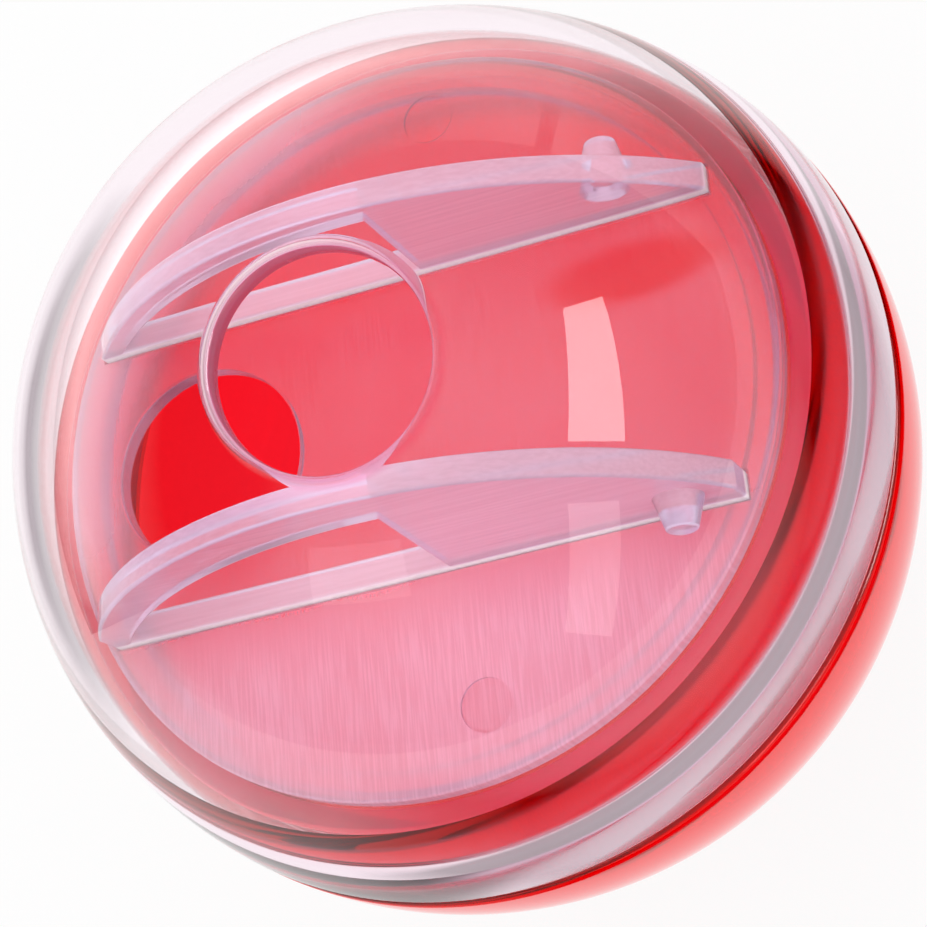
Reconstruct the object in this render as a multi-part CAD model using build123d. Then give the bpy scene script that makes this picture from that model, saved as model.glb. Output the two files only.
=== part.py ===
from build123d import *
import os
from math import radians, sqrt, tan

# Treat dispensing ball. A clear half with an exit hole goes over the collar of a red half.
# Between them lies an insert: a partition disc with a hole, and two upright baffles on it.
# Millimetres and degrees. The origin is the centre of the ball, +Z points to the clear pole,
# and +X runs along the baffles, away from the disc's hole.

# Whole ball
ball_diameter = 70.0
seam_gap = 0.15  # between the clear rim and the red shoulder
clear_seam_radius = 1.2  # rounding of the clear half's outer edge at the seam
red_seam_radius = 0.8
cut_overrun = 5.0  # how far a cutting shape runs past what it cuts
match_tolerance = 0.01  # for picking the edges to be rounded

# Clear half
clear_wall = 1.9
rim_thickness = 3.9  # at the seam, where the straight bore leaves the most plastic
exit_hole_diameter = 16.0
exit_hole_tilt = 9.25  # of the hole's axis away from the pole
exit_hole_turn = -53.4  # of that tilt about the pole, from +X
exit_lip_outer_radius = 0.8
exit_lip_inner_radius = 0.5

# Red half
red_wall = 2.5  # at the pole
collar_wall = 2.4
collar_height = 9.75  # above the seam
collar_clearance = 0.25  # all round, in the bore of the clear half
collar_edge_radius = 0.4

# Partition disc
disc_thickness = 1.5
disc_seat_gap = 0.15  # between the disc and the top of the collar
disc_seat_width = 0.65  # of the disc's edge on the top of the collar
disc_edge_radius = 0.25
spigot_depth = 1.5  # of the ring under the disc that keeps it central in the collar
spigot_wall = 1.4
spigot_clearance = 0.25
disc_hole_diameter = 15.3
disc_hole_margin = 4.2  # of disc left between the hole and the inside of the collar
ejector_mark_diameter = 4.0
ejector_mark_depth = 0.2
ejector_mark_inset = 5.2  # from the edge of the disc to the middle of the mark
ejector_mark_turn = 80.0  # of each mark about the middle of the disc, from +X

# Baffles
baffle_spacing = 23.8  # between the middles of the two plates
baffle_thickness = 2.2
baffle_end_margin = 0.65  # of disc left outside the corners of the plate's foot
upper_crest_share = 0.67  # of the room above the disc that the upper plate takes at its middle
lower_crest_share = 0.9
upper_end_height = 0.6  # of the plate's blunt ends
lower_end_height = 2.6
baffle_edge_radius = 0.3
groove_depth = 0.6  # in the disc, for the foot of the baffle
groove_clearance = 0.1
upper_window_share = 0.8  # of the upper plate's height, at the tall end of its window
lower_window_share = 0.73
window_end_x = 2.5
sill_height = 0.8
boss_diameter = 3.7  # of the small ejector boss, at its root
boss_length = 2.4
boss_draft = 15.0
upper_boss_inset = 6.6  # from the end of the plate
lower_boss_inset = 4.0
boss_height = 3.3  # of its middle, above the disc

# Sizes that follow from those above
ball_radius = ball_diameter / 2
clear_inner_radius = ball_radius - clear_wall
bore_radius = ball_radius - rim_thickness
bore_top = sqrt(clear_inner_radius**2 - bore_radius**2)  # where the bore runs into the round inside
collar_radius = bore_radius - collar_clearance
collar_inner_radius = collar_radius - collar_wall
bowl_centre = collar_inner_radius + red_wall - ball_radius  # level of the middle of the bowl's round floor
disc_bottom = collar_height + disc_seat_gap
disc_top = disc_bottom + disc_thickness
disc_radius = collar_inner_radius + disc_seat_width
spigot_radius = collar_inner_radius - spigot_clearance
disc_hole_x = -(collar_inner_radius - disc_hole_margin - disc_hole_diameter / 2)
baffle_outer_face = baffle_spacing / 2 + baffle_thickness / 2
baffle_half_length = sqrt((disc_radius - baffle_end_margin) ** 2 - baffle_outer_face**2)
baffle_room = sqrt(clear_inner_radius**2 - baffle_outer_face**2) - disc_top
upper_crest = upper_crest_share * baffle_room
lower_crest = lower_crest_share * baffle_room
upper_window = upper_window_share * upper_crest
lower_window = lower_window_share * lower_crest
groove_floor = disc_top - groove_depth


def ring_edges(solid, radius, height):
    """The round edges of a turned solid at one radius and one height."""
    rings = solid.edges().filter_by(GeomType.CIRCLE)
    rings = rings.filter_by(lambda ring: abs(ring.radius - radius) < match_tolerance)
    return rings.filter_by(lambda ring: abs(ring.arc_center.Z - height) < match_tolerance)


def turned(*outline):
    """A solid turned about the ball's axis from the lines and arcs of half its section."""
    return revolve(make_face(Plane.XZ * Curve(list(outline))), Axis.Z)


def clear_shell():
    """The clear half: a round shell on a thick rim with a straight bore, and the exit hole."""
    bore_angle = Vector(1, 0).get_angle(Vector(bore_radius, bore_top))
    rim_radius = sqrt(ball_radius**2 - seam_gap**2)
    rim_angle = Vector(1, 0).get_angle(Vector(rim_radius, seam_gap))
    quarter = 90
    shell = turned(
        CenterArc((0, 0), ball_radius, rim_angle, quarter - rim_angle),
        Line((0, ball_radius), (0, clear_inner_radius)),
        CenterArc((0, 0), clear_inner_radius, bore_angle, quarter - bore_angle),
        Polyline((bore_radius, bore_top), (bore_radius, seam_gap), (rim_radius, seam_gap)),
    )
    shell = fillet(ring_edges(shell, rim_radius, seam_gap), clear_seam_radius)
    return exit_hole_cut(shell)


def lip_edges(shell, sphere_radius):
    """The round edges where the exit hole meets a sphere about the centre of the ball."""
    hole_radius = exit_hole_diameter / 2
    lip_distance = sqrt(sphere_radius**2 - hole_radius**2)
    lips = shell.edges().filter_by(GeomType.CIRCLE)
    lips = lips.filter_by(lambda lip: abs(lip.radius - hole_radius) < match_tolerance)
    return lips.filter_by(lambda lip: abs(lip.arc_center.length - lip_distance) < match_tolerance)


def exit_hole_cut(shell):
    """The clear half with its exit hole, square to the shell and rounded inside and out."""
    hole_axis = Rot(0, 0, exit_hole_turn) * Rot(0, exit_hole_tilt, 0)
    hole_length = ball_radius + cut_overrun
    to_base = (Align.CENTER, Align.CENTER, Align.MIN)
    shell -= hole_axis * Cylinder(exit_hole_diameter / 2, hole_length, align=to_base)
    shell = fillet(lip_edges(shell, ball_radius), exit_lip_outer_radius)
    return fillet(lip_edges(shell, clear_inner_radius), exit_lip_inner_radius)


def red_shell():
    """The red half: a round-floored bowl whose wall goes on above the seam as the collar."""
    quarter = 90
    down = 270
    shell = turned(
        CenterArc((0, 0), ball_radius, down, quarter),
        Polyline(
            (ball_radius, 0),
            (collar_radius, 0),
            (collar_radius, collar_height),
            (collar_inner_radius, collar_height),
            (collar_inner_radius, bowl_centre),
        ),
        CenterArc((0, bowl_centre), collar_inner_radius, down, quarter),
        Line((0, bowl_centre - collar_inner_radius), (0, -ball_radius)),
    )
    shell = fillet(ring_edges(shell, ball_radius, 0), red_seam_radius)
    collar_rings = ring_edges(shell, collar_radius, collar_height)
    collar_rings += ring_edges(shell, collar_inner_radius, collar_height)
    return fillet(collar_rings, collar_edge_radius)


def partition_disc():
    """The flat disc over the bowl, with its spigot, its hole, the baffles' grooves and ejector marks."""
    to_base = (Align.CENTER, Align.CENTER, Align.MIN)
    to_top = (Align.CENTER, Align.CENTER, Align.MAX)
    disc = Pos(0, 0, disc_bottom) * Cylinder(disc_radius, disc_thickness, align=to_base)
    cut_depth = disc_thickness + 2 * cut_overrun
    disc -= Pos(disc_hole_x, 0, disc_bottom) * Cylinder(disc_hole_diameter / 2, cut_depth)
    rims = ring_edges(disc, disc_radius, disc_top) + ring_edges(disc, disc_radius, disc_bottom)
    rims += ring_edges(disc, disc_hole_diameter / 2, disc_top)
    rims += ring_edges(disc, disc_hole_diameter / 2, disc_bottom)
    disc = fillet(rims, disc_edge_radius)
    spigot = Cylinder(spigot_radius, spigot_depth, align=to_top)
    spigot -= Cylinder(spigot_radius - spigot_wall, spigot_depth, align=to_top)
    disc += Pos(0, 0, disc_bottom) * spigot
    groove_length = 2 * (baffle_half_length + groove_clearance)
    groove_width = baffle_thickness + 2 * groove_clearance
    mark_radius = disc_radius - ejector_mark_inset
    for side in (1, -1):
        groove_top = groove_depth + cut_overrun
        groove = Box(groove_length, groove_width, groove_top, align=to_base)
        disc -= Pos(0, side * baffle_spacing / 2, groove_floor) * groove
        mark = Cylinder(ejector_mark_diameter / 2, ejector_mark_depth, align=to_top)
        disc -= Rot(0, 0, side * ejector_mark_turn) * Pos(mark_radius, 0, disc_top) * mark
    return disc


def crest_arc(crest, end_height):
    """Radius and middle level of the arc over a plate, through its crest and both blunt ends."""
    rise = crest - end_height
    radius = (baffle_half_length**2 + rise**2) / (2 * rise)
    return radius, disc_top + crest - radius


def baffle_outline(crest, end_height, window_height):
    """The crescent of the plate and its foot, with the window that leaves an even band over it."""
    radius, middle = crest_arc(crest, end_height)
    plate_height = groove_depth + crest
    outline = Pos(0, middle) * Circle(radius)
    outline &= Pos(0, groove_floor) * Rectangle(
        2 * baffle_half_length, plate_height, align=(Align.CENTER, Align.MIN)
    )
    arc_over_end = middle + sqrt(radius**2 - window_end_x**2)
    window_drop = arc_over_end - disc_top - window_height
    window = Pos(0, middle - window_drop) * Circle(radius)
    window &= Pos(window_end_x, disc_top + sill_height) * Rectangle(
        2 * baffle_half_length, plate_height, align=(Align.MAX, Align.MIN)
    )
    return outline - window


def baffle(side, crest, end_height, window_height, boss_inset):
    """One upright plate, side 1 at +Y and side -1 at -Y, with its ejector boss on the outer face."""
    face_plane = Plane((0, side * baffle_spacing / 2, 0), x_dir=(1, 0, 0), z_dir=(0, -1, 0))
    outline = baffle_outline(crest, end_height, window_height)
    plate = extrude(face_plane * outline, baffle_thickness / 2, both=True)
    middle = crest_arc(crest, end_height)[1]
    crest_edges = plate.edges().filter_by(GeomType.CIRCLE)
    crest_edges = crest_edges.filter_by(lambda edge: abs(edge.arc_center.Z - middle) < match_tolerance)
    plate = fillet(crest_edges, baffle_edge_radius)
    boss_x = baffle_half_length - boss_inset
    tip_radius = boss_diameter / 2 - boss_length * tan(radians(boss_draft))
    to_base = (Align.CENTER, Align.CENTER, Align.MIN)
    boss = Cone(boss_diameter / 2, tip_radius, boss_length, align=to_base)
    root = (boss_x, side * baffle_outer_face, disc_top + boss_height)
    return plate + Plane(root, x_dir=(1, 0, 0), z_dir=(0, side, 0)) * boss


nodes = {
    "clear_shell": clear_shell(),
    "red_shell": red_shell(),
    "partition_disc": partition_disc(),
    "upper_baffle": baffle(1, upper_crest, upper_end_height, upper_window, upper_boss_inset),
    "lower_baffle": baffle(-1, lower_crest, lower_end_height, lower_window, lower_boss_inset),
}
os.makedirs("parts", exist_ok=True)
for name, solid in nodes.items():
    export_step(solid, f"parts/{name}.step")
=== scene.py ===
import math

import bpy
from mathutils import Matrix, Vector
from mathutils.geometry import tessellate_polygon


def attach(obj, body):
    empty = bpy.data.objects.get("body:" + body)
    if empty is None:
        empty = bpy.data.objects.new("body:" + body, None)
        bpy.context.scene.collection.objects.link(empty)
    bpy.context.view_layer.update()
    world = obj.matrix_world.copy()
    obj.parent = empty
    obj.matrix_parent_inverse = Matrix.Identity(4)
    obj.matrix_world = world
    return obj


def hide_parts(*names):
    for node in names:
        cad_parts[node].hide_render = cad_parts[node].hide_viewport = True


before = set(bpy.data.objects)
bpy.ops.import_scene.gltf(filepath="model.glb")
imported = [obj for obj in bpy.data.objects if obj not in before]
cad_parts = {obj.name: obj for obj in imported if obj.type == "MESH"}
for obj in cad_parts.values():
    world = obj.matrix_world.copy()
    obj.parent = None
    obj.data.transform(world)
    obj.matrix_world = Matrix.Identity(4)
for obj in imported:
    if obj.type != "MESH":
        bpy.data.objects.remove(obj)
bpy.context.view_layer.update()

MM = 0.001

# Camera, in the part's frame, metres
TO_CAMERA = Vector((0.3474, -0.3691, 0.8620)).normalized()
UPWARD = Vector((0.2336, 0.9218, 0.3095))
IMAGE_RIGHT = UPWARD.cross(TO_CAMERA).normalized()
IMAGE_UP = TO_CAMERA.cross(IMAGE_RIGHT)
CAMERA_DISTANCE = 0.28
CAMERA_LENS = 140.4
CAMERA_SHIFT = -0.0042

# Ball, in millimetres and degrees like all sizes of the part below, and as the part has it
BALL_RADIUS = 35.0
SEAM_GAP = 0.15
CLEAR_SEAM = 1.2
RED_SEAM = 0.8

# Clear half
CLEAR_WALL = 1.9
RIM_THICKNESS = 3.9
CLEAR_INNER = BALL_RADIUS - CLEAR_WALL
BORE_RADIUS = BALL_RADIUS - RIM_THICKNESS
EXIT_RADIUS = 8.0
EXIT_TILT = 9.25
EXIT_TURN = -53.4
LIP_OUTER = 0.8
LIP_INNER = 0.5

# Red half
RED_WALL = 2.5
COLLAR_WALL = 2.4
COLLAR_HEIGHT = 9.75
COLLAR_CLEARANCE = 0.25
COLLAR_EDGE = 0.4
COLLAR_RADIUS = BORE_RADIUS - COLLAR_CLEARANCE
COLLAR_INNER = COLLAR_RADIUS - COLLAR_WALL
BOWL_CENTRE = COLLAR_INNER + RED_WALL - BALL_RADIUS
POLE_CAP = 0.05  # radius of the tiny flat that closes the mesh at a pole

# Disc
DISC_THICKNESS = 1.5
DISC_SEAT_GAP = 0.15
DISC_SEAT_WIDTH = 0.65
DISC_EDGE = 0.25
DISC_BOTTOM = COLLAR_HEIGHT + DISC_SEAT_GAP
DISC_TOP = DISC_BOTTOM + DISC_THICKNESS
DISC_RADIUS = COLLAR_INNER + DISC_SEAT_WIDTH
SPIGOT_DEPTH = 1.5
SPIGOT_WALL = 1.4
SPIGOT_CLEARANCE = 0.25
SPIGOT_RADIUS = COLLAR_INNER - SPIGOT_CLEARANCE
SPIGOT_INNER = SPIGOT_RADIUS - SPIGOT_WALL
SPIGOT_FOOT = DISC_BOTTOM - SPIGOT_DEPTH
HOLE_RADIUS = 7.65
HOLE_MARGIN = 4.2
HOLE_X = HOLE_RADIUS + HOLE_MARGIN - COLLAR_INNER
MARK_RADIUS = 2.0
MARK_DEPTH = 0.2
MARK_INSET = 5.2
MARK_REACH = DISC_RADIUS - MARK_INSET
MARK_TURN = 80.0

# Baffles
PLATE_MIDDLE = 11.9
PLATE_THICKNESS = 2.2
PLATE_END_MARGIN = 0.65
PLATE_EDGE = 0.3
PLATE_OUTER_FACE = PLATE_MIDDLE + PLATE_THICKNESS / 2
PLATE_HALF = math.sqrt((DISC_RADIUS - PLATE_END_MARGIN) ** 2 - PLATE_OUTER_FACE**2)
PLATE_ROOM = math.sqrt(CLEAR_INNER**2 - PLATE_OUTER_FACE**2) - DISC_TOP
GROOVE_DEPTH = 0.6
GROOVE_CLEARANCE = 0.1
GROOVE_FLOOR = DISC_TOP - GROOVE_DEPTH
FOOT_GAP = 0.02
UPPER_CREST_SHARE = 0.67
LOWER_CREST_SHARE = 0.9
UPPER_WINDOW_SHARE = 0.8
LOWER_WINDOW_SHARE = 0.73
UPPER_CREST = UPPER_CREST_SHARE * PLATE_ROOM
LOWER_CREST = LOWER_CREST_SHARE * PLATE_ROOM
UPPER_WINDOW = UPPER_WINDOW_SHARE * UPPER_CREST
LOWER_WINDOW = LOWER_WINDOW_SHARE * LOWER_CREST
UPPER_END_HEIGHT = 0.6
LOWER_END_HEIGHT = 2.6
WINDOW_END = 2.5
SILL = 0.8
UPPER_BOSS_INSET = 6.6
LOWER_BOSS_INSET = 4.0
BOSS_RADIUS = 1.85
BOSS_LENGTH = 2.4
BOSS_DRAFT = 15.0
BOSS_TIP = BOSS_RADIUS - BOSS_LENGTH * math.tan(math.radians(BOSS_DRAFT))
BOSS_HEIGHT = 3.3
BOSS_EDGE = 0.25

# Steps of the meshes, round an axis and along the arcs of a section
SEGMENTS = 256
HOLE_SEGMENTS = 160
SMALL_SEGMENTS = 64
SHELL_STEPS = 72
RED_OUTSIDE_STEPS = 80
CLEAR_SEAM_STEPS = 16
RED_SEAM_STEPS = 14
LIP_OUTER_STEPS = 14
LIP_INNER_STEPS = 10
COLLAR_EDGE_STEPS = 10
EDGE_STEPS = 8
CREST_STEPS = 72
WINDOW_STEPS = 48
SAME_DECIMALS = 6  # two stations that agree so far share a ring
SOFT_BEND = math.cos(math.radians(20))  # bends below 20 degrees are shaded smooth

# Plastic
PLASTIC_IOR = 1.5
WHITE = (1, 1, 1)
RED = (0.98, 0.018, 0.04)
LILAC = (0.93, 0.8, 1)
# Colour of the disc: partly the plastic's own lilac tint, partly a painted glow of red light from the bowl
# below
PINK_WITH_PAINTED_GLOW = (1, 0.72, 0.96)
NOISE_SPAN = (0.3, 0.7)  # in which nearly all of a noise lies
MIX_SHARE, MIX_FIRST, MIX_SECOND, MIX_RESULT = 0, 6, 7, 2  # a Mix node's colour sockets

# Zones of the plastics: where the halves slide, the collar's hazy skin, the lip with painted haze and a
# painted pink reflection, and the baffles' feet with a painted white highlight
SLIDE_FOOT = 0.3
BORE_SLIDE_RADII = (BORE_RADIUS - COLLAR_CLEARANCE, BORE_RADIUS + COLLAR_CLEARANCE)
BORE_SLIDE_LEVELS = (SLIDE_FOOT, 11.2)
COLLAR_SLIDE_RADII = (COLLAR_RADIUS - COLLAR_CLEARANCE, COLLAR_RADIUS + COLLAR_CLEARANCE)
COLLAR_SLIDE_LEVELS = (SLIDE_FOOT, 9.4)
COLLAR_SKIN_RADII = (29.2, 31.5)
COLLAR_SKIN_LEVELS = (-0.2, 9.9)
LIP_PAINT_START, LIP_PAINT_END = 0.1, 1.0  # beyond the exit hole's radius
FOOT_HIGHLIGHT_START, FOOT_HIGHLIGHT_END = 0.4, 0.9  # above the disc

# Room: levels of its white, and the degrees from a direction between which the level changes
MATT_LIGHT = 2.4  # for hazy plastic inside the ball, because the shells around it turn light back
ROOM_DARK = 0.15
ROOM_DARK_ANGLES = (88, 104)
ROOM_FRONT = 0.5
ROOM_FRONT_ANGLES = (62, 42)
ROOM_LEFT = 0.05
ROOM_LEFT_ANGLES = (36, 20)
ROOM_LEFT_LEAN = 0.3  # of the dark left side towards the camera
FLOOR_RADIUS = 2.0
FLOOR_SEGMENTS = 96
FLOOR_COLOR = (0.12, 0.12, 0.12, 1)
FLOOR_GLOW = 0.9

# Lit panes: strength, and the directions of the four corners from the ball
PANE_DISTANCE = 0.6
PANES = {
    "pane_main": (7.5, (
        (0.715, 0.218, 0.664), (0.807, 0.272, 0.524), (0.84, -0.284, 0.462), (0.694, -0.308, 0.651))),
    "pane_lower": (2.2, (
        (0.632, -0.528, 0.567), (0.77, -0.492, 0.407), (0.524, -0.848, 0.087), (0.417, -0.875, 0.245))),
    "pane_left": (1.4, (
        (-0.371, -0.522, 0.768), (0.004, -0.602, 0.799), (-0.031, -0.769, 0.639), (-0.416, -0.673, 0.611))),
}

# Lit strip and black cards: shares of the ball's radius where they show, degrees about the line of sight
STRIP_DISTANCE = 0.12
STRIP_STRENGTH = 4.0
STRIP_STEPS = 24
STRIP_ANGLES = (205, 78)
STRIP_SHARE = 0.84
STRIP_SHIFT_SHARE = 0.03  # by which the strip moves outwards on its way
STRIP_SHIFT_START, STRIP_SHIFT_RATE = 0.25, 2.2
STRIP_FADE_SHARE = 0.35  # of its length, over which the far end fades into the room
STRIP_ROWS = ((-0.2, 0.0), (-0.08, 0.4), (0.0, 1.0), (0.045, 0.0))  # shares beside its line, and glows
FLAG_DISTANCE = 0.035
FLAG_STEP = 5
FLAG_SOFT_END = 30

# Bounces: light turns many times inside the rims and the collar
CLEAR_BOUNCES = 64
MATT_BOUNCES = 2


class Surface:
    """Points, faces and the exact direction of the surface at every corner of a face."""

    def __init__(self):
        self.points, self.faces, self.normals = [], [], []

    def loop(self, points):
        """New points, given back as their numbers."""
        start = len(self.points)
        self.points += points
        return list(range(start, len(self.points)))

    def face(self, corners, normals):
        """One face, turned so that it looks the way of its directions."""
        a, b, c = (self.points[k] for k in corners[:3])
        if (b - a).cross(c - a).dot(sum(normals, Vector())) < 0:
            corners, normals = corners[::-1], normals[::-1]
        self.faces.append(corners)
        self.normals += normals

    def strip(self, a, b, a_normals, b_normals):
        """Faces between two closed loops. Each edge of a loop has the directions at its two ends."""
        for k in range(len(a)):
            j = (k + 1) % len(a)
            (a0, a1), (b0, b1) = a_normals[k], b_normals[k]
            self.face([a[k], a[j], b[j], b[k]], [a0, a1, b1, b0])

    def flat(self, loops, normal):
        """A flat face inside the first loop, with the other loops as holes."""
        across = normal.orthogonal().normalized()
        up = normal.cross(across)
        index = [k for ring in loops for k in ring]
        plan = []
        for ring in loops:
            plan.append([Vector((self.points[k].dot(across), self.points[k].dot(up), 0)) for k in ring])
        for triangle in tessellate_polygon(plan):
            self.face([index[k] for k in triangle], [normal] * 3)

    def piece(self, name, node, body, material):
        """The finished mesh in metres, riding on its body in place of its CAD node."""
        mesh = bpy.data.meshes.new(name)
        mesh.from_pydata([p * MM for p in self.points], [], self.faces, shade_flat=False)
        mesh.normals_split_custom_set([n.normalized() for n in self.normals])
        mesh.materials.append(material)
        obj = bpy.data.objects.new(name, mesh)
        bpy.context.scene.collection.objects.link(obj)
        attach(obj, body)
        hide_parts(node)
        return obj


def arc(centre_r, centre_z, radius, start, end, steps, tilts=(0.0, 0.0)):
    """Stations along an arc of a section: radius, height, direction of the surface, tilt of the ring."""
    stations = []
    sense = 1 if end > start else -1
    for k in range(steps + 1):
        t = k / steps
        a = math.radians(start + (end - start) * t)
        c, s = math.cos(a), math.sin(a)
        tilt = tilts[0] + (tilts[1] - tilts[0]) * t
        stations.append((centre_r + radius * c, centre_z + radius * s, sense * c, sense * s, tilt))
    return stations


def line(start, end, tilt=0.0):
    """Two stations along a straight stretch of a section. Plastic is on its left."""
    run = math.dist(start, end)
    nr, nz = (end[1] - start[1]) / run, (start[0] - end[0]) / run
    return [(*start, nr, nz, tilt), (*end, nr, nz, tilt)]


def turned(surface, sections, place=Matrix.Identity(4), closed=False, segments=SEGMENTS):
    """Rings over the stations of a section. Gives the first and the last ring."""
    turn = place.to_3x3()
    circle = [(math.cos(math.tau * k / segments), math.sin(math.tau * k / segments)) for k in range(segments)]
    first = last = last_key = None
    for number, section in enumerate(sections):
        before = None
        for spot, (r, z, nr, nz, tilt) in enumerate(section):
            lean = Matrix.Rotation(math.radians(tilt), 3, "Y")
            around = [turn @ (lean @ Vector((nr * c, nr * s, nz))) for c, s in circle]
            edges = [(around[k], around[(k + 1) % segments]) for k in range(segments)]
            key = tuple(round(value, SAME_DECIMALS) for value in (r, z, tilt))
            end = closed and number == len(sections) - 1 and spot == len(section) - 1
            if end:
                ring = first
            elif key == last_key:
                ring = last
            else:
                ring = surface.loop([place @ (lean @ Vector((r * c, r * s, z))) for c, s in circle])
            first = first or ring
            if before:
                surface.strip(last, ring, before, edges)
            last, last_key, before = ring, key, edges
    return first, last


def clear_half(material):
    """The clear half: round the exit hole's lip, down the inside, round the rim and up the outside."""
    out_z = math.sqrt((BALL_RADIUS - LIP_OUTER) ** 2 - (EXIT_RADIUS + LIP_OUTER) ** 2)
    in_z = math.sqrt((CLEAR_INNER + LIP_INNER) ** 2 - (EXIT_RADIUS + LIP_INNER) ** 2)
    out_lean = math.degrees(math.atan2(out_z, EXIT_RADIUS + LIP_OUTER))
    in_lean = math.degrees(math.atan2(in_z, EXIT_RADIUS + LIP_INNER))
    edge_z = SEAM_GAP + CLEAR_SEAM
    edge_r = math.sqrt((BALL_RADIUS - CLEAR_SEAM) ** 2 - edge_z**2)
    edge_lean = math.degrees(math.atan2(edge_z, edge_r))
    bore_lean = math.degrees(math.acos(BORE_RADIUS / CLEAR_INNER))
    bore_top = CLEAR_INNER * math.sin(math.radians(bore_lean))
    lip = (EXIT_TILT, EXIT_TILT)
    sections = [
        arc(EXIT_RADIUS + LIP_OUTER, out_z, LIP_OUTER, out_lean, 180, LIP_OUTER_STEPS, lip),
        line((EXIT_RADIUS, out_z), (EXIT_RADIUS, in_z), EXIT_TILT),
        arc(EXIT_RADIUS + LIP_INNER, in_z, LIP_INNER, 180, 180 + in_lean, LIP_INNER_STEPS, lip),
        arc(0, 0, CLEAR_INNER, in_lean, bore_lean, SHELL_STEPS, (EXIT_TILT, 0)),
        line((BORE_RADIUS, bore_top), (BORE_RADIUS, SEAM_GAP)),
        line((BORE_RADIUS, SEAM_GAP), (edge_r, SEAM_GAP)),
        arc(edge_r, edge_z, CLEAR_SEAM, -90, edge_lean, CLEAR_SEAM_STEPS),
        arc(0, 0, BALL_RADIUS, edge_lean, out_lean, SHELL_STEPS, (0, EXIT_TILT)),
    ]
    surface = Surface()
    turned(surface, sections, Matrix.Rotation(math.radians(EXIT_TURN), 4, "Z"), closed=True)
    return surface.piece("clear_half", "clear_shell", "cap", material)


def red_half(material):
    """The red half: up the outside, over the shoulder and the collar, and down the bowl."""
    edge_r = math.sqrt((BALL_RADIUS - RED_SEAM) ** 2 - RED_SEAM**2)
    edge_lean = math.degrees(math.atan2(-RED_SEAM, edge_r))
    outer_cap = math.degrees(math.acos(POLE_CAP / BALL_RADIUS))
    inner_cap = math.degrees(math.acos(POLE_CAP / COLLAR_INNER))
    inner_edge = COLLAR_INNER + COLLAR_EDGE
    outer_edge = COLLAR_RADIUS - COLLAR_EDGE
    edge_z = COLLAR_HEIGHT - COLLAR_EDGE
    sections = [
        arc(0, 0, BALL_RADIUS, -outer_cap, edge_lean, RED_OUTSIDE_STEPS),
        arc(edge_r, -RED_SEAM, RED_SEAM, edge_lean, 90, RED_SEAM_STEPS),
        line((edge_r, 0), (COLLAR_RADIUS, 0)),
        line((COLLAR_RADIUS, 0), (COLLAR_RADIUS, edge_z)),
        arc(outer_edge, edge_z, COLLAR_EDGE, 0, 90, COLLAR_EDGE_STEPS),
        line((outer_edge, COLLAR_HEIGHT), (inner_edge, COLLAR_HEIGHT)),
        arc(inner_edge, edge_z, COLLAR_EDGE, 90, 180, COLLAR_EDGE_STEPS),
        line((COLLAR_INNER, edge_z), (COLLAR_INNER, BOWL_CENTRE)),
        arc(0, BOWL_CENTRE, COLLAR_INNER, 0, -inner_cap, SHELL_STEPS),
    ]
    surface = Surface()
    first, last = turned(surface, sections)
    surface.flat([first], Vector((0, 0, -1)))
    surface.flat([last], Vector((0, 0, 1)))
    return surface.piece("red_half", "red_shell", "base", material)


def recess(surface, points, floor, rounded):
    """A recess below a loop of the disc's top face, with a round or a sharp-cornered wall. Gives the loop."""
    count = len(points)
    normals = []
    for k in range(count):
        run = points[(k + 1) % count] - points[k]
        normals.append(Vector((-run.y, run.x, 0)).normalized())
    if rounded:
        corners = [(normals[k - 1] + normals[k]).normalized() for k in range(count)]
        ends = [(corners[k], corners[(k + 1) % count]) for k in range(count)]
    else:
        ends = [(n, n) for n in normals]
    top = surface.loop(points)
    low = surface.loop([Vector((p.x, p.y, floor)) for p in points])
    surface.strip(top, low, ends, ends)
    surface.flat([low], Vector((0, 0, 1)))
    return top


def mark_centre(side):
    """The middle of an ejector mark on the disc."""
    turn = math.radians(side * MARK_TURN)
    return Vector((math.cos(turn), math.sin(turn), 0)) * MARK_REACH


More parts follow.
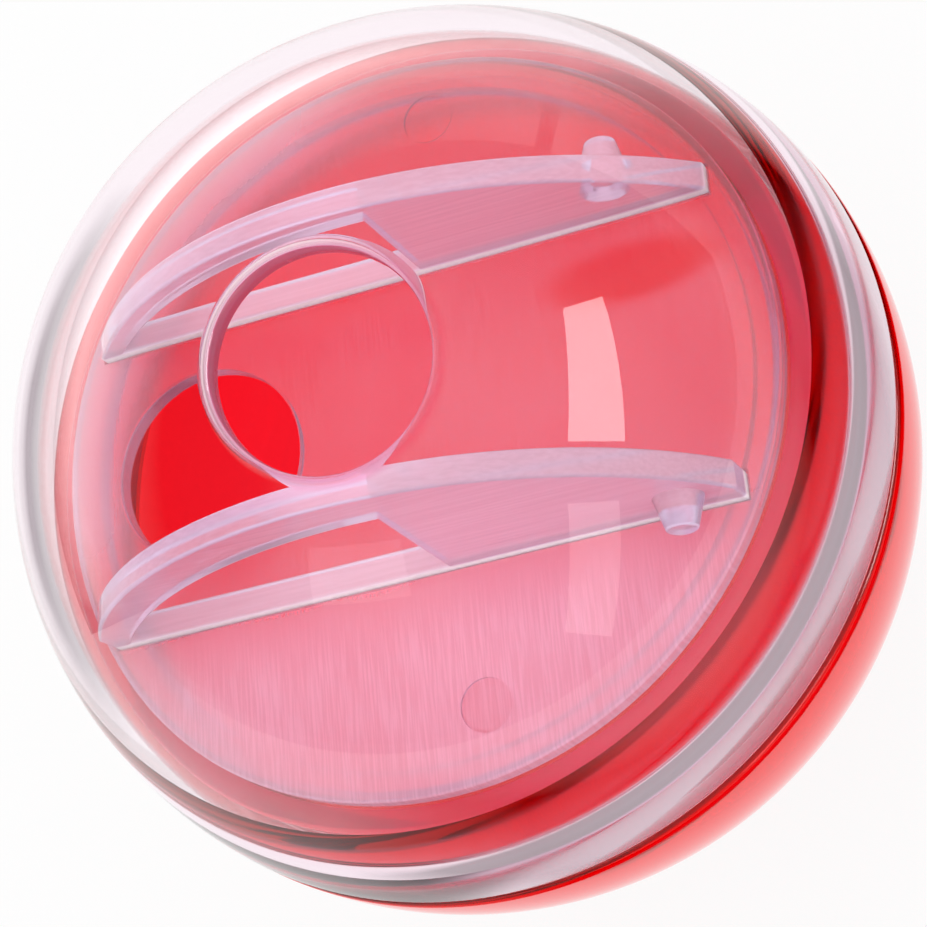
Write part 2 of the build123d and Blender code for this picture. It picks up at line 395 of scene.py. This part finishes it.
def disc(material):
    """The disc: its rim and spigot, its hole, and its top with the grooves and the two marks."""
    low, high = DISC_BOTTOM + DISC_EDGE, DISC_TOP - DISC_EDGE
    rim = DISC_RADIUS - DISC_EDGE
    mouth = HOLE_RADIUS + DISC_EDGE
    surface = Surface()
    under, over = turned(surface, [
        line((SPIGOT_INNER, DISC_BOTTOM), (SPIGOT_INNER, SPIGOT_FOOT)),
        line((SPIGOT_INNER, SPIGOT_FOOT), (SPIGOT_RADIUS, SPIGOT_FOOT)),
        line((SPIGOT_RADIUS, SPIGOT_FOOT), (SPIGOT_RADIUS, DISC_BOTTOM)),
        line((SPIGOT_RADIUS, DISC_BOTTOM), (rim, DISC_BOTTOM)),
        arc(rim, low, DISC_EDGE, -90, 0, EDGE_STEPS),
        line((DISC_RADIUS, low), (DISC_RADIUS, high)),
        arc(rim, high, DISC_EDGE, 0, 90, EDGE_STEPS),
    ])
    hole_top, hole_low = turned(surface, [
        arc(mouth, high, DISC_EDGE, 90, 180, EDGE_STEPS),
        line((HOLE_RADIUS, high), (HOLE_RADIUS, low)),
        arc(mouth, low, DISC_EDGE, 180, 270, EDGE_STEPS),
    ], Matrix.Translation((HOLE_X, 0, 0)), segments=HOLE_SEGMENTS)
    holes = [hole_top]
    x = PLATE_HALF + GROOVE_CLEARANCE
    y = PLATE_THICKNESS / 2 + GROOVE_CLEARANCE
    corners = [(-x, -y), (x, -y), (x, y), (-x, y)]
    angles = [math.tau * k / SMALL_SEGMENTS for k in range(SMALL_SEGMENTS)]
    circle = [Vector((MARK_RADIUS * math.cos(a), MARK_RADIUS * math.sin(a), DISC_TOP)) for a in angles]
    for side in (1, -1):
        groove = [Vector((cx, cy + side * PLATE_MIDDLE, DISC_TOP)) for cx, cy in corners]
        holes.append(recess(surface, groove, GROOVE_FLOOR, False))
        mark = [mark_centre(side) + point for point in circle]
        holes.append(recess(surface, mark, DISC_TOP - MARK_DEPTH, True))
    surface.flat([over] + holes, Vector((0, 0, 1)))
    surface.flat([under, hole_low], Vector((0, 0, -1)))
    return surface.piece("disc", "partition_disc", "insert", material)


def outline_normals(points):
    """The outward direction of each edge of a flat outline, and those at its two ends, sharp at corners."""
    count = len(points)
    edges = []
    for k in range(count):
        run = points[(k + 1) % count] - points[k]
        edges.append(Vector((run.y, -run.x)).normalized())
    ends = []
    for k in range(count):
        before, here, after = edges[k - 1], edges[k], edges[(k + 1) % count]
        start = (before + here).normalized() if before.dot(here) > SOFT_BEND else here
        end = (after + here).normalized() if after.dot(here) > SOFT_BEND else here
        ends.append((start, end))
    return edges, ends


def bow(radius, middle, start, end, steps):
    """Points along an arc over a plate, between two angles from straight up."""
    angles = [start + (end - start) * k / steps for k in range(steps + 1)]
    return [Vector((radius * math.sin(a), middle + radius * math.cos(a))) for a in angles]


def plate_outlines(crest, end_height, window_height):
    """A plate's crescent and its window, whose top is the crescent's arc lowered by an even band."""
    rise = crest - end_height
    radius = (PLATE_HALF**2 + rise**2) / (2 * rise)
    middle = DISC_TOP + crest - radius
    reach = math.asin(PLATE_HALF / radius)
    foot = GROOVE_FLOOR + FOOT_GAP
    outer = [Vector((-PLATE_HALF, foot)), Vector((PLATE_HALF, foot))]
    outer += bow(radius, middle, reach, -reach, CREST_STEPS)
    drop = middle + math.sqrt(radius**2 - WINDOW_END**2) - DISC_TOP - window_height
    sill = DISC_TOP + SILL
    tip = -math.acos((sill - middle + drop) / radius)
    end = math.asin(WINDOW_END / radius)
    window = bow(radius, middle - drop, tip, end, WINDOW_STEPS)
    window.append(Vector((WINDOW_END, sill)))
    return outer, window


def rounded_edge():
    """Inset, place across the plate and direction of the surface, from the front face round to the back."""
    rounds = []
    for k in range(EDGE_STEPS + 1):
        a = math.radians(90 - 90 * k / EDGE_STEPS)
        c, s = math.cos(a), math.sin(a)
        rounds.append((PLATE_EDGE * (1 - c), PLATE_THICKNESS / 2 - PLATE_EDGE * (1 - s), c, s))
    return rounds + [(inset, -y, c, -s) for inset, y, c, s in rounds[::-1]]


def boss(surface, side, inset):
    """The small tapered boss on the outer face of a plate. Gives its root."""
    place = Matrix.Translation((PLATE_HALF - inset, side * PLATE_OUTER_FACE, DISC_TOP + BOSS_HEIGHT))
    place = place @ Matrix.Rotation(math.radians(-90 * side), 4, "X")
    draft = math.radians(BOSS_DRAFT)
    tip_r, tip_z = BOSS_TIP - BOSS_EDGE, BOSS_LENGTH - BOSS_EDGE
    rim = (tip_r + BOSS_EDGE * math.cos(draft), tip_z + BOSS_EDGE * math.sin(draft))
    root, top = turned(surface, [
        line((BOSS_RADIUS, 0), rim),
        arc(tip_r, tip_z, BOSS_EDGE, BOSS_DRAFT, 90, EDGE_STEPS),
    ], place, segments=SMALL_SEGMENTS)
    surface.flat([top], Vector((0, side, 0)))
    return root


def plate(name, node, side, crest, end_height, window_height, boss_inset, material):
    """One baffle: a crescent plate with rounded edges, a window and a small boss on its outer face."""
    surface = Surface()
    centre = side * PLATE_MIDDLE
    front, back = [], []
    for outline in plate_outlines(crest, end_height, window_height):
        edges, ends = outline_normals(outline)
        inward = [-(edges[k - 1] + edges[k]) / (1 + edges[k - 1].dot(edges[k])) for k in range(len(outline))]
        last = None
        for inset, y, c, s in rounded_edge():
            ring = surface.loop([
                Vector((p.x + d.x * inset, centre + y, p.y + d.y * inset)) for p, d in zip(outline, inward)
            ])
            normals = [tuple(Vector((n.x * c, s, n.y * c)) for n in pair) for pair in ends]
            if last:
                surface.strip(last[0], ring, last[1], normals)
            else:
                front.append(ring)
            last = (ring, normals)
        back.append(last[0])
    root = boss(surface, side, boss_inset)
    (front if side > 0 else back).append(root)
    surface.flat(front, Vector((0, 1, 0)))
    surface.flat(back, Vector((0, -1, 0)))
    return surface.piece(name, node, "insert", material)


def add(tree, kind, inputs=(), **settings):
    """A shader node. Each input is given a value or another node's output."""
    node = tree.nodes.new(kind)
    for name, value in settings.items():
        setattr(node, name, value)
    for key, value in dict(inputs).items():
        if isinstance(value, bpy.types.NodeSocket):
            tree.links.new(value, node.inputs[key])
        else:
            node.inputs[key].default_value = value
    return node


def new_material(name):
    """An empty material, its tree and its output."""
    material = bpy.data.materials.new(name)
    material.use_nodes = True
    material.node_tree.nodes.clear()
    return material, material.node_tree, add(material.node_tree, "ShaderNodeOutputMaterial")


def metres(*sizes):
    """Sizes in millimetres, as a shader needs them."""
    return tuple(size * MM for size in sizes)


def cosines(angles):
    """The cosines of angles in degrees."""
    return tuple(math.cos(math.radians(angle)) for angle in angles)


def ramp(tree, value, span, levels, smooth=True):
    """A value carried from a span to the levels at the span's two ends."""
    node = add(tree, "ShaderNodeMapRange", {
        "Value": value, "From Min": span[0], "From Max": span[1], "To Min": levels[0], "To Max": levels[1],
    }, interpolation_type="SMOOTHSTEP" if smooth else "LINEAR")
    return node.outputs["Result"]


def maths(tree, operation, a, b):
    """The result of one operation on two values."""
    return add(tree, "ShaderNodeMath", {0: a, 1: b}, operation=operation).outputs[0]


def product(tree, a, b):
    """Two values multiplied."""
    return maths(tree, "MULTIPLY", a, b)


def vectors(tree, operation, a, b=(0, 0, 0), output="Vector"):
    """The result of one operation on vectors."""
    return add(tree, "ShaderNodeVectorMath", {0: a, 1: b}, operation=operation).outputs[output]


def length(tree, vector):
    """The length of a vector."""
    return vectors(tree, "LENGTH", vector, output="Value")


def parts(tree, vector):
    """The X, Y and Z of a vector."""
    return add(tree, "ShaderNodeSeparateXYZ", {0: vector}).outputs


def axis_distance(tree, spot):
    """How far a spot lies from the ball's axis."""
    flat = add(tree, "ShaderNodeCombineXYZ", {0: spot["X"], 1: spot["Y"]})
    return length(tree, flat.outputs[0])


def noise(tree, position, scale, detail):
    """Soft noise between 0 and 1."""
    node = add(tree, "ShaderNodeTexNoise", {"Vector": position, "Scale": scale, "Detail": detail})
    return node.outputs["Fac"]


def scratches(tree, position, turn, stretch, scale):
    """Fine straight lines: noise drawn out along one direction."""
    drawn = add(tree, "ShaderNodeMapping", {"Vector": position, "Rotation": (0, 0, turn), "Scale": stretch})
    return noise(tree, drawn.outputs[0], scale, detail=1.5)


def see_through(name, color, absorption, density):
    """See-through plastic with a tint that deepens along the way through it."""
    material, tree, output = new_material(name)
    shader = add(tree, "ShaderNodeBsdfPrincipled", {
        "Base Color": (*color, 1), "IOR": PLASTIC_IOR, "Transmission Weight": 1.0,
    })
    tree.links.new(shader.outputs["BSDF"], output.inputs["Surface"])
    volume = add(tree, "ShaderNodeVolumeAbsorption", {"Color": (*absorption, 1), "Density": density})
    tree.links.new(volume.outputs["Volume"], output.inputs["Volume"])
    position = add(tree, "ShaderNodeTexCoord").outputs["Object"]
    return material, tree, shader, position


def tinted(tree, shader, share, plain, tint):
    """A colour that goes over into another as a share grows."""
    inputs = {MIX_SHARE: share, MIX_FIRST: (*plain, 1), MIX_SECOND: (*tint, 1)}
    mix = add(tree, "ShaderNodeMix", inputs, data_type="RGBA")
    tree.links.new(mix.outputs[MIX_RESULT], shader.inputs["Base Color"])


def bumped(tree, shader, height, depth):
    """A relief on the skin, its depth in metres."""
    bump = add(tree, "ShaderNodeBump", {"Height": height, "Strength": 1.0, "Distance": depth})
    tree.links.new(bump.outputs[0], shader.inputs["Normal"])


def milky(tree, shader, haze):
    """Haze on the skin. It turns light back on its way in, and not inside the plastic."""
    inside = add(tree, "ShaderNodeNewGeometry").outputs["Backfacing"]
    skin = product(tree, haze, maths(tree, "SUBTRACT", 1.0, inside))
    tree.links.new(maths(tree, "SUBTRACT", 1.0, skin), shader.inputs["Transmission Weight"])


def wear(tree, shader, position, polish, worn, fit):
    """A polished, slightly wavy skin with rubbed patches and hairlines, matt where the halves slide."""
    rubbed_span, slide_span, slide_roughness = (0.5, 0.75), (0.35, 0.7), 0.1
    wave_depth = 0.02 * MM
    patches = noise(tree, position, scale=60.0, detail=2.0)
    one = scratches(tree, position, turn=0.5, stretch=(1, 30, 8), scale=160.0)
    two = scratches(tree, position, turn=-0.9, stretch=(26, 1, 9), scale=150.0)
    one_lines = ramp(tree, one, (0.66, 0.78), (0, 1))
    two_lines = ramp(tree, two, (0.68, 0.8), (0, 1))
    lines = maths(tree, "MAXIMUM", one_lines, two_lines)
    rubbed = product(tree, ramp(tree, patches, rubbed_span, (0, 1)), lines)
    skin = ramp(tree, rubbed, (0, 1), (polish, worn), smooth=False)
    slide = product(tree, fit, ramp(tree, patches, slide_span, (0, slide_roughness)))
    tree.links.new(maths(tree, "MAXIMUM", skin, slide), shader.inputs["Roughness"])
    bumped(tree, shader, noise(tree, position, scale=90.0, detail=0.0), wave_depth)


def between(tree, value, limits):
    """1 between two limits, 0 elsewhere."""
    low, high = limits
    return product(tree, maths(tree, "GREATER_THAN", value, low), maths(tree, "LESS_THAN", value, high))


def collar_zone(tree, position, radii, levels):
    """1 between two radii about the ball's axis and two levels, all in millimetres, and 0 elsewhere."""
    spot = parts(tree, position)
    ring = between(tree, axis_distance(tree, spot), metres(*radii))
    return product(tree, ring, between(tree, spot["Z"], metres(*levels)))


def clear_plastic():
    """Polished plastic with a trace of lilac. The lip of the exit hole is hazy and pink, which is painted
    haze and a painted reflection of the pink inside.
    """
    lip_painted_pink, lip_painted_haze = (1, 0.34, 0.56), 0.36
    painted_lip_span = metres(EXIT_RADIUS + LIP_PAINT_START, EXIT_RADIUS + LIP_PAINT_END)
    material, tree, shader, position = see_through(
        "clear_plastic", WHITE, absorption=(0.96, 0.72, 0.85), density=80)
    bore = collar_zone(tree, position, BORE_SLIDE_RADII, BORE_SLIDE_LEVELS)
    wear(tree, shader, position, polish=0.0, worn=0.12, fit=bore)
    tilt, turn = math.radians(EXIT_TILT), math.radians(EXIT_TURN)
    axis = (math.sin(tilt) * math.cos(turn), math.sin(tilt) * math.sin(turn), math.cos(tilt))
    reach = length(tree, vectors(tree, "CROSS_PRODUCT", position, axis))
    # Painted reflection: haze and a pink tint on the lip stand in for the pink inside that it mirrors
    lip = ramp(tree, reach, painted_lip_span, (1, 0))
    milky(tree, shader, product(tree, lip, lip_painted_haze))
    tinted(tree, shader, lip, WHITE, lip_painted_pink)
    return material


def red_plastic():
    """Polished see-through red, with a hazy crimson skin on the collar and the shoulder."""
    crimson, haze_levels = (0.9, 0.006, 0.1), (0.4, 0.65)
    material, tree, shader, position = see_through(
        "red_plastic", RED, absorption=(0.97, 0.1, 0.16), density=150)
    collar = collar_zone(tree, position, COLLAR_SLIDE_RADII, COLLAR_SLIDE_LEVELS)
    wear(tree, shader, position, polish=0.01, worn=0.15, fit=collar)
    skin = collar_zone(tree, position, COLLAR_SKIN_RADII, COLLAR_SKIN_LEVELS)
    flow = noise(tree, position, scale=70.0, detail=3.0)
    milky(tree, shader, product(tree, skin, ramp(tree, flow, NOISE_SPAN, haze_levels)))
    tinted(tree, shader, skin, RED, crimson)
    return material


def baffle_plastic():
    """Milky satin plastic with the drawn marks of its mould, with painted light that makes it paler where the
    crest faces up, and a painted white highlight at the foot.
    """
    haze_levels, crest_painted_light, foot_painted_highlight = (0.39, 0.43), 0.08, 0.55
    crest_light_span, foot_highlight_span = (0.3, 0.8), metres(DISC_TOP + FOOT_HIGHLIGHT_START, DISC_TOP + FOOT_HIGHLIGHT_END)
    grain_span, roughness_levels = (0.3, 0.8), (0.05, 0.15)
    grain_depth = 0.0005 * MM
    material, tree, shader, position = see_through(
        "baffle_plastic", LILAC, absorption=(0.85, 0.72, 0.88), density=90)
    grain = scratches(tree, position, turn=0.0, stretch=(1, 40, 40), scale=90.0)
    tree.links.new(ramp(tree, grain, grain_span, roughness_levels), shader.inputs["Roughness"])
    # Painted light: the haze grows where the plate faces up, so its crest is paler
    facing = add(tree, "ShaderNodeNewGeometry").outputs["Normal"]
    crest = ramp(tree, parts(tree, facing)["Z"], crest_light_span, (0, crest_painted_light))
    # Painted highlight: just above the disc the plate turns white and hazy, drawing a bright line along its
    # foot
    foot = ramp(tree, parts(tree, position)["Z"], foot_highlight_span, (1, 0))
    skin = maths(tree, "MAXIMUM", crest, product(tree, foot, foot_painted_highlight))
    milky(tree, shader, maths(tree, "ADD", skin, ramp(tree, grain, NOISE_SPAN, haze_levels)))
    tinted(tree, shader, foot, LILAC, WHITE)
    bumped(tree, shader, grain, grain_depth)
    return material


def patch(tree, position, centre, size, edge):
    """1 inside an ellipse on the disc, 0 outside. Its edge is soft from a share of its size."""
    moved = vectors(tree, "SUBTRACT", position, (*metres(*centre), 0.0))
    scaled = vectors(tree, "DIVIDE", moved, (*metres(*size), 1.0))
    return ramp(tree, length(tree, scaled), (edge, 1), (1, 0))


def disc_haze(tree, position, brushed):
    """Clouds over the whole disc, a milky side towards -Y with brush lines, and a milky edge towards -X."""
    cloud_levels, low_haze, high_haze, edge_haze, line_haze = (0.09, 0.15), 0.34, -0.06, 0.26, 0.05
    low_y_span, high_y_span = metres(-6, -21), metres(4, 20)
    edge_reach_span, edge_x_span, edge_y_span = metres(20, 28), metres(4, -12), metres(-11, -1)
    line_span, line_low_span, line_levels = (0.35, 0.7), (0.5, 1), (0.1, 1)
    spot = parts(tree, position)
    cloud = ramp(tree, noise(tree, position, scale=45.0, detail=3.0), NOISE_SPAN, cloud_levels)
    low = ramp(tree, spot["Y"], low_y_span, (0, 1))
    high = ramp(tree, spot["Y"], high_y_span, (0, high_haze))
    edge = ramp(tree, axis_distance(tree, spot), edge_reach_span, (0, edge_haze))
    edge = product(tree, edge, ramp(tree, spot["X"], edge_x_span, (0, 1)))
    edge = product(tree, edge, ramp(tree, spot["Y"], edge_y_span, (0, 1)))
    lines = ramp(tree, brushed, line_span, (-line_haze, line_haze))
    lines = product(tree, lines, ramp(tree, low, line_low_span, line_levels))
    haze = maths(tree, "ADD", product(tree, low, low_haze), cloud)
    for more in (high, edge, lines):
        haze = maths(tree, "ADD", haze, more)
    return haze


def frosted_plastic():
    """The disc: brushed one way, hazy, and clearer in one patch and in the ejector marks."""
    mark_share, mark_size = 0.12, (MARK_RADIUS, MARK_RADIUS)
    roughness_levels, brush_depth = (0.2, 0.26), 0.0003 * MM
    # The haze's pink is partly the plastic's own tint and partly painted red glow from the bowl below
    material, tree, shader, position = see_through(
        "frosted_plastic", PINK_WITH_PAINTED_GLOW, absorption=(0.86, 0.72, 0.87), density=40)
    brushed = scratches(tree, position, turn=0.0, stretch=(25, 1, 1), scale=250.0)
    clear = patch(tree, position, centre=(18.8, 6.4), size=(8.5, 3.0), edge=0.5)
    for side in (1, -1):
        mark = patch(tree, position, mark_centre(side).xy, mark_size, edge=0.95)
        clear = maths(tree, "MAXIMUM", clear, product(tree, mark, mark_share))
    haze = disc_haze(tree, position, brushed)
    milky(tree, shader, product(tree, haze, maths(tree, "SUBTRACT", 1.0, clear)))
    tree.links.new(ramp(tree, brushed, NOISE_SPAN, roughness_levels), shader.inputs["Roughness"])
    bumped(tree, shader, brushed, brush_depth)
    return material


def add_camera():
    """The camera at the photograph's angle."""
    data = bpy.data.cameras.new("camera")
    data.lens = CAMERA_LENS
    data.shift_x = CAMERA_SHIFT
    data.shift_y = CAMERA_SHIFT
    camera = bpy.data.objects.new("camera", data)
    turn = Matrix((IMAGE_RIGHT, IMAGE_UP, TO_CAMERA)).transposed().to_4x4()
    camera.matrix_world = Matrix.Translation(TO_CAMERA * CAMERA_DISTANCE) @ turn
    bpy.context.scene.collection.objects.link(camera)
    bpy.context.scene.camera = camera


def add_world():
    """A white room that is darker on the camera's side and dark at the left. The camera itself sees white."""
    world = bpy.data.worlds.new("studio")
    bpy.context.scene.world = world
    world.use_nodes = True
    tree = world.node_tree
    tree.nodes.clear()
    direction = add(tree, "ShaderNodeTexCoord").outputs["Generated"]
    facing = vectors(tree, "DOT_PRODUCT", direction, TO_CAMERA, "Value")
    behind = ramp(tree, facing, cosines(ROOM_DARK_ANGLES), (ROOM_DARK, 1))
    front = ramp(tree, facing, cosines(ROOM_FRONT_ANGLES), (0, ROOM_FRONT))
    path = add(tree, "ShaderNodeLightPath").outputs
    room = maths(tree, "MAXIMUM", path["Is Transmission Ray"], maths(tree, "ADD", behind, front))
    left = (TO_CAMERA * ROOM_LEFT_LEAN - IMAGE_RIGHT).normalized()
    aside = vectors(tree, "DOT_PRODUCT", direction, left, "Value")
    room = product(tree, room, ramp(tree, aside, cosines(ROOM_LEFT_ANGLES), (1, ROOM_LEFT)))
    level = ramp(tree, path["Transmission Depth"], (0, 1), (1, MATT_LIGHT), smooth=False)
    matt = product(tree, maths(tree, "MINIMUM", path["Diffuse Depth"], 1.0), level)
    strength = maths(tree, "MAXIMUM", path["Is Camera Ray"], maths(tree, "MAXIMUM", matt, room))
    background = add(tree, "ShaderNodeBackground", {"Strength": strength})
    output = add(tree, "ShaderNodeOutputWorld")
    tree.links.new(background.outputs[0], output.inputs[0])


def add_floor():
    """A white floor that keeps the ball's shadow."""
    bpy.ops.mesh.primitive_circle_add(
        vertices=FLOOR_SEGMENTS, radius=FLOOR_RADIUS, fill_type="NGON", location=(0, 0, -BALL_RADIUS * MM))
    floor = bpy.context.object
    floor.name = "floor"
    material, tree, output = new_material("floor_white")
    diffuse = add(tree, "ShaderNodeBsdfDiffuse", {"Color": FLOOR_COLOR})
    glow = add(tree, "ShaderNodeEmission", {"Strength": FLOOR_GLOW})
    shaded = add(tree, "ShaderNodeAddShader", {0: diffuse.outputs[0], 1: glow.outputs[0]})
    white = add(tree, "ShaderNodeEmission", {"Strength": 1.0})
    path = add(tree, "ShaderNodeLightPath").outputs
    gloss = maths(tree, "MAXIMUM", path["Is Glossy Ray"], path["Is Transmission Ray"])
    mix = add(tree, "ShaderNodeMixShader", {0: gloss, 1: shaded.outputs[0], 2: white.outputs[0]})
    tree.links.new(mix.outputs[0], output.inputs["Surface"])
    floor.data.materials.append(material)


def studio_sheet(name, rows, glow, strength, through=0.0):
    """A lit or black sheet that shows in the gloss, and through the plastic too if through is above 0."""
    mesh = bpy.data.meshes.new(name)
    count = len(rows[0])
    starts = [r * count + k for r in range(len(rows) - 1) for k in range(count - 1)]
    faces = [(a, a + 1, a + count + 1, a + count) for a in starts]
    mesh.from_pydata([p for row in rows for p in row], [], faces)
    share = mesh.attributes.new("glow", "FLOAT", "POINT")
    share.data.foreach_set("value", [value for row in glow for value in row])
    obj = bpy.data.objects.new(name, mesh)
    bpy.context.scene.collection.objects.link(obj)
    material, tree, output = new_material(name)
    level = add(tree, "ShaderNodeAttribute", attribute_name="glow").outputs["Fac"]
    seen = add(tree, "ShaderNodeLightPath").outputs["Is Transmission Ray"]
    level = maths(tree, "MAXIMUM", level, product(tree, seen, through))
    light = add(tree, "ShaderNodeEmission", {"Strength": product(tree, level, strength)})
    tree.links.new(light.outputs[0], output.inputs["Surface"])
    mesh.materials.append(material)
    obj.visible_camera = False
    obj.visible_diffuse = False
    obj.visible_transmission = through > 0
    obj.visible_shadow = False


def quad(name, directions, strength):
    """An even pane with four corners, each given by its direction from the ball."""
    a, b, c, d = (Vector(direction).normalized() * PANE_DISTANCE for direction in directions)
    studio_sheet(name, [[a, b], [d, c]], [[1, 1], [1, 1]], strength)


def mirrored(share, angle, distance):
    """The point that the ball mirrors at a share of its radius and an angle about the line of sight."""
    a = math.radians(angle)
    sideways = IMAGE_RIGHT * math.cos(a) + IMAGE_UP * math.sin(a)
    normal = sideways * share + TO_CAMERA * math.sqrt(1 - share**2)
    ray = normal * (2 * normal.dot(TO_CAMERA)) - TO_CAMERA
    return normal * BALL_RADIUS * MM + ray * distance


def strip_light():
    """A long soft strip that draws the streak along the far left edge of the ball."""
    rows, glow = [[] for row in STRIP_ROWS], [[] for row in STRIP_ROWS]
    first, last = STRIP_ANGLES
    for k in range(STRIP_STEPS + 1):
        t = k / STRIP_STEPS
        shift = min(1.0, max(0.0, (t - STRIP_SHIFT_START) * STRIP_SHIFT_RATE))
        middle = STRIP_SHARE + STRIP_SHIFT_SHARE * shift
        near_end = t < 0.5
        fade = math.sqrt(math.sin(math.pi * t)) if near_end else min(1.0, (1 - t) / STRIP_FADE_SHARE)
        room = 0.0 if near_end else (1 - fade) / STRIP_STRENGTH
        for number, (offset, level) in enumerate(STRIP_ROWS):
            rows[number].append(mirrored(middle + offset, first + (last - first) * t, STRIP_DISTANCE))
            glow[number].append(level * fade + room)
    studio_sheet("pane_strip", rows, glow, STRIP_STRENGTH)


def black_flag(name, edges, first, last, through):
    """A black card with soft ends that keeps the room out of the gloss. Each edge is a share and a glow."""
    angles = range(first, last + 1, FLAG_STEP)
    ends = [max(0.0, 1.0 - min(angle - first, last - angle) / FLAG_SOFT_END) for angle in angles]
    rows = [[mirrored(share, angle, FLAG_DISTANCE) for angle in angles] for share, level in edges]
    glow = [[max(level, end) for end in ends] for share, level in edges]
    studio_sheet(name, rows, glow, 1.0, through)


satin = baffle_plastic()
clear_half(clear_plastic())
red_half(red_plastic())
disc(frosted_plastic())
plate(
    "baffle_upper", "upper_baffle", 1,
    UPPER_CREST, UPPER_END_HEIGHT, UPPER_WINDOW, UPPER_BOSS_INSET, satin)
plate(
    "baffle_lower", "lower_baffle", -1,
    LOWER_CREST, LOWER_END_HEIGHT, LOWER_WINDOW, LOWER_BOSS_INSET, satin)

add_camera()
add_world()
add_floor()
for pane, (pane_strength, pane_corners) in PANES.items():
    quad(pane, pane_corners, pane_strength)
strip_light()
black_flag(
    "flag_right", edges=((0.66, 1), (0.72, 0), (0.82, 0), (0.9, 0), (0.94, 1)),
    first=-110, last=76, through=0.5)
black_flag(
    "flag_left", edges=((0.92, 1), (0.94, 0), (0.95, 0), (0.975, 1)),
    first=140, last=220, through=0.6)

scene = bpy.context.scene
scene.view_settings.view_transform = "Standard"
scene.cycles.max_bounces = CLEAR_BOUNCES
scene.cycles.transmission_bounces = CLEAR_BOUNCES
scene.cycles.glossy_bounces = CLEAR_BOUNCES
scene.cycles.diffuse_bounces = MATT_BOUNCES
